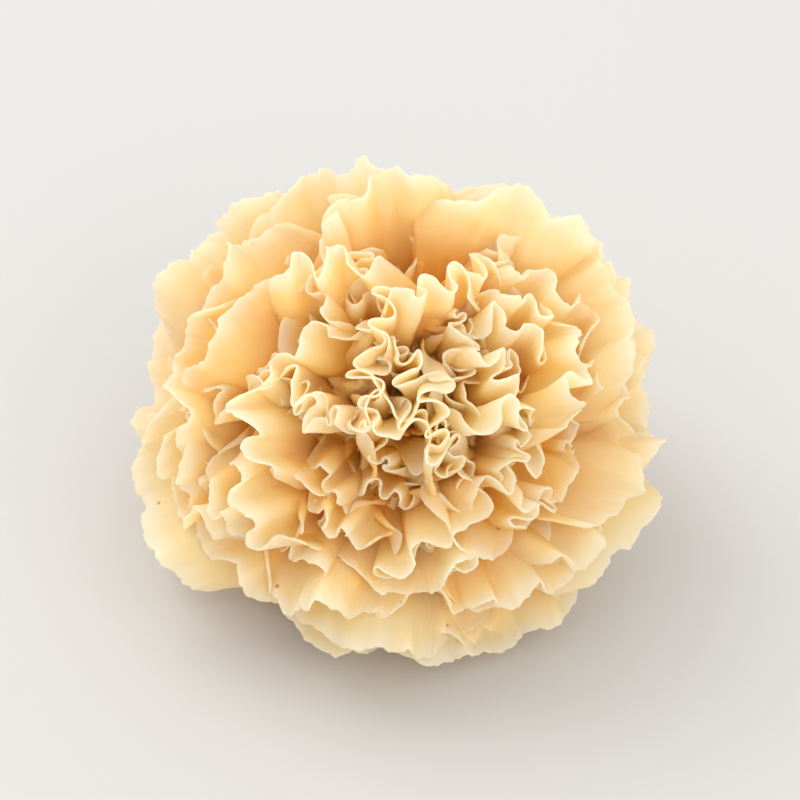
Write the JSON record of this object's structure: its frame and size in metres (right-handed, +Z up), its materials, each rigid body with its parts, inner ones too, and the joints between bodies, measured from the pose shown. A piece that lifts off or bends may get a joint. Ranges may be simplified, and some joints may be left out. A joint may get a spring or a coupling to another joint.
{
  "type": "dried snow fungus",
  "caption": "Dried snow fungus head: pale ruffled fronds in a dense rounded cluster, grown from one hard root that is cut off flat underneath.",
  "frame": {"origin": "middle of the flat cut under the root, on the surface that the head rests on", "axes": "+Z up out of the cut through the head, front of the head towards -Y, +X to the right seen from the front"},
  "size_m": [0.0867, 0.0868, 0.0702],
  "materials": {
    "dried_flesh": "dry, slightly waxy and translucent, cream at the rims and golden in the depths"
  },
  "bodies": {
    "root": {"fruiting_body": "dried_flesh"}
  },
  "joints": []
}
